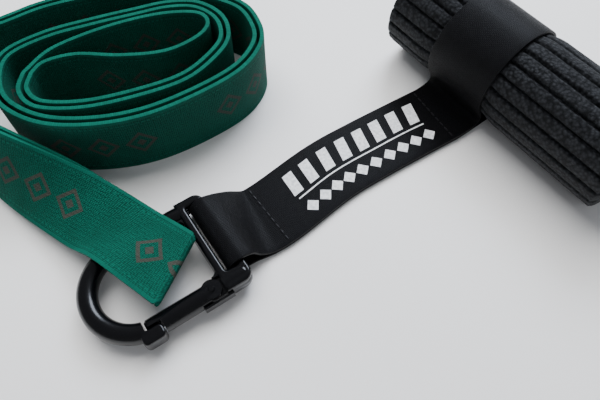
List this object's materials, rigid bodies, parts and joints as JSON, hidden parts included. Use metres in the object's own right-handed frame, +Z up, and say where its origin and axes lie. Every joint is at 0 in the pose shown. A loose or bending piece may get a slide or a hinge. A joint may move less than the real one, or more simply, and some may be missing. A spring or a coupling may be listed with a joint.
{
  "type": "stretching strap",
  "caption": "Closed elastic stretching band hooked on a sprung snap clip, with a webbing strap stitched round a ribbed foam roll, laid out flat with the band in a standing coil.",
  "frame": {"origin": "centre of the laid-out set's bounding box, on the surface it lies on", "axes": "+Z up from the surface, +X along the set from the band's coil to the foam roll, +Y away from the clip"},
  "size_m": [0.2988, 0.1717, 0.0438],
  "materials": {
    "elastic": "woven, slight sheen",
    "webbing": "woven, satin",
    "thread": "sewn thread",
    "print_ink": "printed ink",
    "foam": "pebbled foam",
    "clip_paint": "gloss powder coat",
    "steel": "darkened steel"
  },
  "bodies": {
    "clip": {"clip_body": "clip_paint", "hinge_rivet": "steel"},
    "gate": {"gate": "clip_paint", "gate_spring": "steel"},
    "plunger": {"spring_plunger": "steel"},
    "strap": {"webbing_strap": "webbing", "clip_end_stitching": "thread", "roll_end_stitching": "thread", "print_bold_marks": "print_ink", "print_line": "print_ink", "print_small_marks": "print_ink"},
    "roll": {"foam_roll": "foam"},
    "band": {"elastic_band": "elastic", "band_join_stitching": "thread"}
  },
  "joints": [
    {"name": "gate_hinge", "type": "hinge", "parent": "clip", "child": "gate", "pos_m": [-0.02633, -0.0653, 0.0066], "axis": [0, 0, 1], "range_deg": [-35, 0], "stiffness_Nm_per_rad": 0.04, "springref_deg": 14.9},
    {"name": "plunger_slide", "type": "slide", "parent": "gate", "child": "plunger", "axis": [-0.8251, -0.565, 0], "range_m": [0, 0.00075], "deforming": ["gate_spring"]},
    {"name": "strap_swing", "type": "hinge", "parent": "clip", "child": "strap", "pos_m": [-0.0251, -0.04125, 0.0066], "axis": [-0.565, 0.8251, 0], "range_deg": [-95, 95]},
    {"name": "roll_spin", "type": "hinge", "parent": "strap", "child": "roll", "pos_m": [0.08778, 0.03879, 0.02188], "axis": [0.6115, -0.7912, 0], "continuous": true},
    {"name": "band_swing", "type": "hinge", "parent": "clip", "child": "band", "pos_m": [-0.05555, -0.04386, 0.0066], "axis": [0.8251, 0.565, 0], "range_deg": [-35, 0]}
  ],
  "couplings": [
    {"joint": "plunger_slide", "follows": "gate_hinge", "m_per_rad": -0.0011459}
  ]
}
